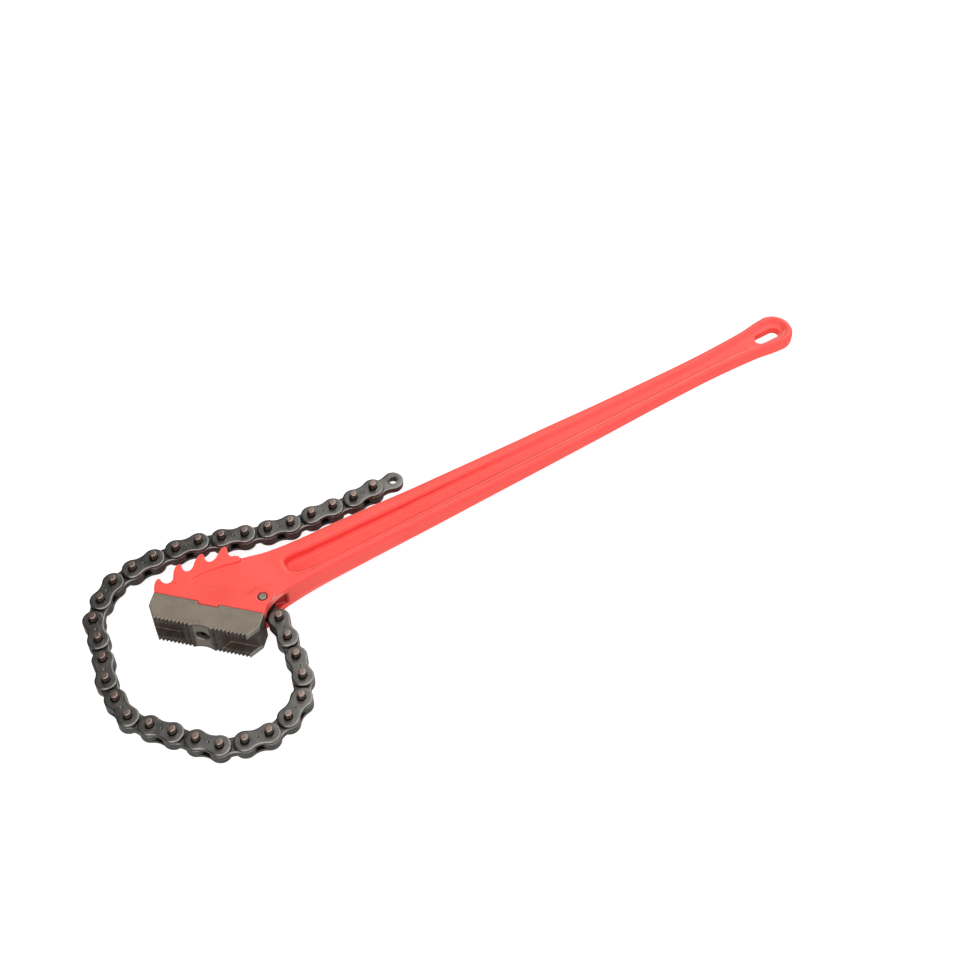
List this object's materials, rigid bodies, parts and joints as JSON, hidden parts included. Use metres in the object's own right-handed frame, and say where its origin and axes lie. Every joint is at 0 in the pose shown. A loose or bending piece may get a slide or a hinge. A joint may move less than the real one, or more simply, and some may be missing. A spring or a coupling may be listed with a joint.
{
  "type": "chain pipe wrench",
  "caption": "Chain wrench for turning pipe: a long I-section handle with a bolted toothed jaw and a leaf chain pinned to its head that wraps the pipe and hooks back.",
  "frame": {"origin": "centre of the chain pivot pin's lower end face, in the plane of the head's lower side face", "axes": "+X along the handle from the head to the grip end, +Y towards the side of the head the jaw's upper end is on, +Z along the chain pins, out of the head's upper side face"},
  "size_m": [0.6897, 0.2095, 0.033],
  "materials": {
    "handle_paint": "satin red paint over a drop forging",
    "jaw_steel": "ground satin sides, dark heat-treated teeth",
    "jaw_screw": "black oxide",
    "pivot_pin": "oiled steel",
    "chain_outer": "dark oiled steel with brighter worn edges",
    "chain_inner": "dark oiled steel with brighter worn edges"
  },
  "bodies": {
    "tool": {"handle": "handle_paint", "jaw": "jaw_steel", "jaw_screw": "jaw_screw", "pivot_pin": "pivot_pin"},
    "link_00": {"anchor_link": "chain_inner"},
    "link_01": {"outer_link_01": "chain_outer"},
    "link_02": {"inner_link_01": "chain_inner"},
    "link_03": {"outer_link_02": "chain_outer"},
    "link_04": {"inner_link_02": "chain_inner"},
    "link_05": {"outer_link_03": "chain_outer"},
    "link_06": {"inner_link_03": "chain_inner"},
    "link_07": {"outer_link_04": "chain_outer"},
    "link_08": {"inner_link_04": "chain_inner"},
    "link_09": {"outer_link_05": "chain_outer"},
    "link_10": {"inner_link_05": "chain_inner"},
    "link_11": {"outer_link_06": "chain_outer"},
    "link_12": {"inner_link_06": "chain_inner"},
    "link_13": {"outer_link_07": "chain_outer"},
    "link_14": {"inner_link_07": "chain_inner"},
    "link_15": {"outer_link_08": "chain_outer"},
    "link_16": {"inner_link_08": "chain_inner"},
    "link_17": {"outer_link_09": "chain_outer"},
    "link_18": {"inner_link_09": "chain_inner"},
    "link_19": {"outer_link_10": "chain_outer"},
    "link_20": {"inner_link_10": "chain_inner"},
    "link_21": {"outer_link_11": "chain_outer"},
    "link_22": {"inner_link_11": "chain_inner"},
    "link_23": {"outer_link_12": "chain_outer"},
    "link_24": {"inner_link_12": "chain_inner"},
    "link_25": {"outer_link_13": "chain_outer"},
    "link_26": {"inner_link_13": "chain_inner"},
    "link_27": {"outer_link_14": "chain_outer"},
    "link_28": {"inner_link_14": "chain_inner"},
    "link_29": {"outer_link_15": "chain_outer"},
    "link_30": {"inner_link_15": "chain_inner"},
    "link_31": {"outer_link_16": "chain_outer"},
    "link_32": {"inner_link_16": "chain_inner"}
  },
  "joints": [
    {"name": "hinge_00", "type": "hinge", "parent": "tool", "child": "link_00", "pos_m": [0, 0, 0.0165], "axis": [0, 0, -1], "range_deg": [-26, 1]},
    {"name": "hinge_01", "type": "hinge", "parent": "link_00", "child": "link_01", "pos_m": [0.00383, -0.01866, 0.0165], "axis": [0, 0, 1], "range_deg": [-1, 22]},
    {"name": "hinge_02", "type": "hinge", "parent": "link_01", "child": "link_02", "pos_m": [0.00134, -0.03755, 0.0165], "axis": [0, 0, 1], "range_deg": [-1, 20]},
    {"name": "hinge_03", "type": "hinge", "parent": "link_02", "child": "link_03", "pos_m": [-0.00118, -0.05643, 0.0165], "axis": [0, 0, -1], "range_deg": [-24, 1]},
    {"name": "hinge_04", "type": "hinge", "parent": "link_03", "child": "link_04", "pos_m": [-0.00533, -0.07502, 0.0165], "axis": [0, 0, 1], "range_deg": [-1, 22]},
    {"name": "hinge_05", "type": "hinge", "parent": "link_04", "child": "link_05", "pos_m": [-0.01526, -0.09128, 0.0165], "axis": [0, 0, 1], "range_deg": [-1, 50]},
    {"name": "hinge_06", "type": "hinge", "parent": "link_05", "child": "link_06", "pos_m": [-0.03169, -0.10092, 0.0165], "axis": [0, 0, 1], "range_deg": [-1, 50]},
    {"name": "hinge_07", "type": "hinge", "parent": "link_06", "child": "link_07", "pos_m": [-0.05024, -0.10524, 0.0165], "axis": [0, 0, -1], "range_deg": [-50, 1]},
    {"name": "hinge_08", "type": "hinge", "parent": "link_07", "child": "link_08", "pos_m": [-0.06895, -0.10164, 0.0165], "axis": [0, 0, -1], "range_deg": [-50, 1]},
    {"name": "hinge_09", "type": "hinge", "parent": "link_08", "child": "link_09", "pos_m": [-0.08679, -0.09497, 0.0165], "axis": [0, 0, -1], "range_deg": [-50, 1]},
    {"name": "hinge_10", "type": "hinge", "parent": "link_09", "child": "link_10", "pos_m": [-0.09959, -0.08085, 0.0165], "axis": [0, 0, 1], "range_deg": [-0.5, 50]},
    {"name": "hinge_11", "type": "hinge", "parent": "link_10", "child": "link_11", "pos_m": [-0.11168, -0.06613, 0.0165], "axis": [0, 0, -1], "range_deg": [-50, 0.5]},
    {"name": "hinge_12", "type": "hinge", "parent": "link_11", "child": "link_12", "pos_m": [-0.1238, -0.05143, 0.0165], "axis": [0, 0, -1], "range_deg": [-50, 0.5]},
    {"name": "hinge_13", "type": "hinge", "parent": "link_12", "child": "link_13", "pos_m": [-0.13456, -0.03572, 0.0165], "axis": [0, 0, 1], "range_deg": [-0.5, 50]},
    {"name": "hinge_14", "type": "hinge", "parent": "link_13", "child": "link_14", "pos_m": [-0.13622, -0.01674, 0.0165], "axis": [0, 0, 1], "range_deg": [-0.5, 50]},
    {"name": "hinge_15", "type": "hinge", "parent": "link_14", "child": "link_15", "pos_m": [-0.13539, 0.00229, 0.0165], "axis": [0, 0, 1], "range_deg": [-0.5, 50]},
    {"name": "hinge_16", "type": "hinge", "parent": "link_15", "child": "link_16", "pos_m": [-0.12979, 0.0205, 0.0165], "axis": [0, 0, -1], "range_deg": [-50, 0.5]},
    {"name": "hinge_17", "type": "hinge", "parent": "link_16", "child": "link_17", "pos_m": [-0.12537, 0.03903, 0.0165], "axis": [0, 0, -1], "range_deg": [-50, 0.5]},
    {"name": "hinge_18", "type": "hinge", "parent": "link_17", "child": "link_18", "pos_m": [-0.12125, 0.05763, 0.0165], "axis": [0, 0, 1], "range_deg": [-0.5, 50]},
    {"name": "hinge_19", "type": "hinge", "parent": "link_18", "child": "link_19", "pos_m": [-0.10865, 0.07192, 0.0165], "axis": [0, 0, 1], "range_deg": [-0.5, 50]},
    {"name": "hinge_20", "type": "hinge", "parent": "link_19", "child": "link_20", "pos_m": [-0.09293, 0.08268, 0.0165], "axis": [0, 0, 1], "range_deg": [-1, 50]},
    {"name": "hinge_21", "type": "hinge", "parent": "link_20", "child": "link_21", "pos_m": [-0.0742, 0.08612, 0.0165], "axis": [0, 0, -1], "range_deg": [-50, 1]},
    {"name": "hinge_22", "type": "hinge", "parent": "link_21", "child": "link_22", "pos_m": [-0.05515, 0.08656, 0.0165], "axis": [0, 0, -1], "range_deg": [-50, 1]},
    {"name": "hinge_23", "type": "hinge", "parent": "link_22", "child": "link_23", "pos_m": [-0.03614, 0.08536, 0.0165], "axis": [0, 0, -1], "range_deg": [-50, 1]},
    {"name": "hinge_24", "type": "hinge", "parent": "link_23", "child": "link_24", "pos_m": [-0.0174, 0.08195, 0.0165], "axis": [0, 0, 1], "range_deg": [-1, 50]},
    {"name": "hinge_25", "type": "hinge", "parent": "link_24", "child": "link_25", "pos_m": [0.00057, 0.07563, 0.0165], "axis": [0, 0, -1], "range_deg": [-50, 1]},
    {"name": "hinge_26", "type": "hinge", "parent": "link_25", "child": "link_26", "pos_m": [0.01844, 0.06902, 0.0165], "axis": [0, 0, 1], "range_deg": [-2, 50]},
    {"name": "hinge_27", "type": "hinge", "parent": "link_26", "child": "link_27", "pos_m": [0.03667, 0.06348, 0.0165], "axis": [0, 0, 1], "range_deg": [-2, 50]},
    {"name": "hinge_28", "type": "hinge", "parent": "link_27", "child": "link_28", "pos_m": [0.05501, 0.05832, 0.0165], "axis": [0, 0, -1], "range_deg": [-50, 4]},
    {"name": "hinge_29", "type": "hinge", "parent": "link_28", "child": "link_29", "pos_m": [0.07401, 0.05696, 0.0165], "axis": [0, 0, -1], "range_deg": [-50, 5.5]},
    {"name": "hinge_30", "type": "hinge", "parent": "link_29", "child": "link_30", "pos_m": [0.09292, 0.05467, 0.0165], "axis": [0, 0, 1], "range_deg": [-8, 50]},
    {"name": "hinge_31", "type": "hinge", "parent": "link_30", "child": "link_31", "pos_m": [0.11193, 0.05351, 0.0165], "axis": [0, 0, 1], "range_deg": [-11.5, 50]},
    {"name": "hinge_32", "type": "hinge", "parent": "link_31", "child": "link_32", "pos_m": [0.13097, 0.05434, 0.0165], "axis": [0, 0, 1], "range_deg": [-20, 50]}
  ]
}
